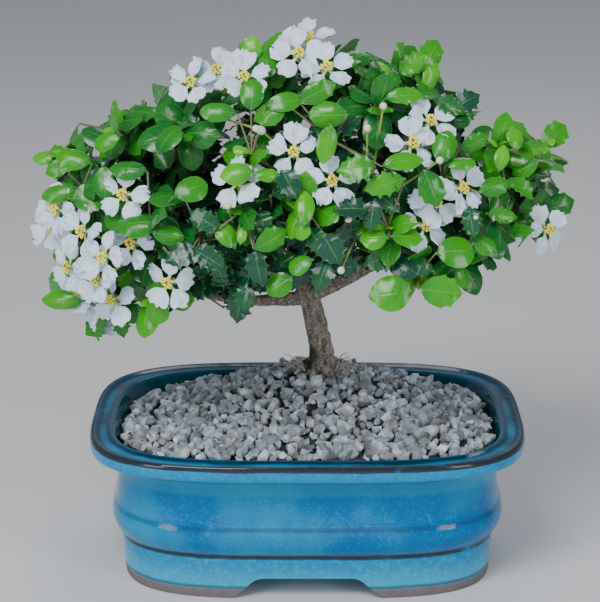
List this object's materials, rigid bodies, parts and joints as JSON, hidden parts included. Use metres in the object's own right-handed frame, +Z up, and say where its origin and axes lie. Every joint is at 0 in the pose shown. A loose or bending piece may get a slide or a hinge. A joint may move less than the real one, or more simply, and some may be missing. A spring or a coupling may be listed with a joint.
{
  "type": "okinawa holly bonsai",
  "caption": "Small flowering bonsai with a low trunk, a wide dome of small glossy leaves and white ruffled flowers, in a rounded rectangular glazed pot topped with grey gravel.",
  "frame": {"origin": "on the ground, under the middle of the whole object's box", "axes": "+Z up, +X to the right along the pot's long side, -Y towards the front of the pot and of the tree"},
  "size_m": [0.2475, 0.1636, 0.2604],
  "materials": {
    "glaze": "glossy blue glaze on stoneware",
    "soil": "damp crumbly soil",
    "gravel": "dry angular grey stone",
    "bark": "rough grey brown bark",
    "young_leaf": "glossy bright green leaf",
    "green_leaf": "glossy mid green leaf",
    "dark_leaf": "glossy dark green leaf",
    "petal": "matt white petal"
  },
  "bodies": {
    "root": {"pot": "glaze", "soil": "soil", "gravel": "gravel", "wood": "bark", "bloom_left_outer": "petal", "bloom_left_upper": "petal", "bloom_left_middle": "petal", "bloom_left_inner": "petal", "bloom_left_low": "petal", "bloom_lower_left": "petal", "bloom_left_high": "petal", "bloom_top_left": "petal", "bloom_top": "petal", "bloom_middle_high": "petal", "bloom_middle": "petal", "bloom_middle_left": "petal", "bloom_upper_right": "petal", "bloom_right_middle": "petal", "bloom_right_low": "petal", "bloom_right_tip": "petal", "bloom_back_left": "petal", "bloom_back_top": "petal", "bloom_back_right": "petal", "spray_low_right": "young_leaf", "spray_right_low": "green_leaf", "spray_right_front": "green_leaf", "spray_right_tip": "green_leaf", "spray_right_upper": "young_leaf", "spray_right_shoulder": "young_leaf", "spray_upper_right": "dark_leaf", "spray_top_right": "young_leaf", "spray_top_right_front": "green_leaf", "spray_top_middle": "green_leaf", "spray_top_left": "young_leaf", "spray_upper_left": "green_leaf", "spray_left_shoulder": "young_leaf", "spray_far_left_upper": "young_leaf", "spray_far_left_middle": "green_leaf", "spray_left_front": "green_leaf", "spray_left_low": "young_leaf", "spray_far_left_low": "young_leaf", "spray_left_hanging": "green_leaf", "spray_middle_left": "dark_leaf", "spray_low_left": "dark_leaf", "spray_low_middle": "dark_leaf", "spray_young_pair": "young_leaf", "spray_middle": "green_leaf", "spray_upper_middle": "young_leaf", "spray_upper_front": "dark_leaf", "spray_right_pair": "young_leaf", "spray_right_middle": "green_leaf", "spray_back_right_low": "green_leaf", "spray_back_right_high": "green_leaf", "spray_back_far_right": "young_leaf", "spray_back_top": "green_leaf", "spray_back_middle_high": "green_leaf", "spray_back_left_low": "green_leaf", "spray_back_left_high": "young_leaf", "spray_back_far_left": "green_leaf"}
  },
  "joints": []
}
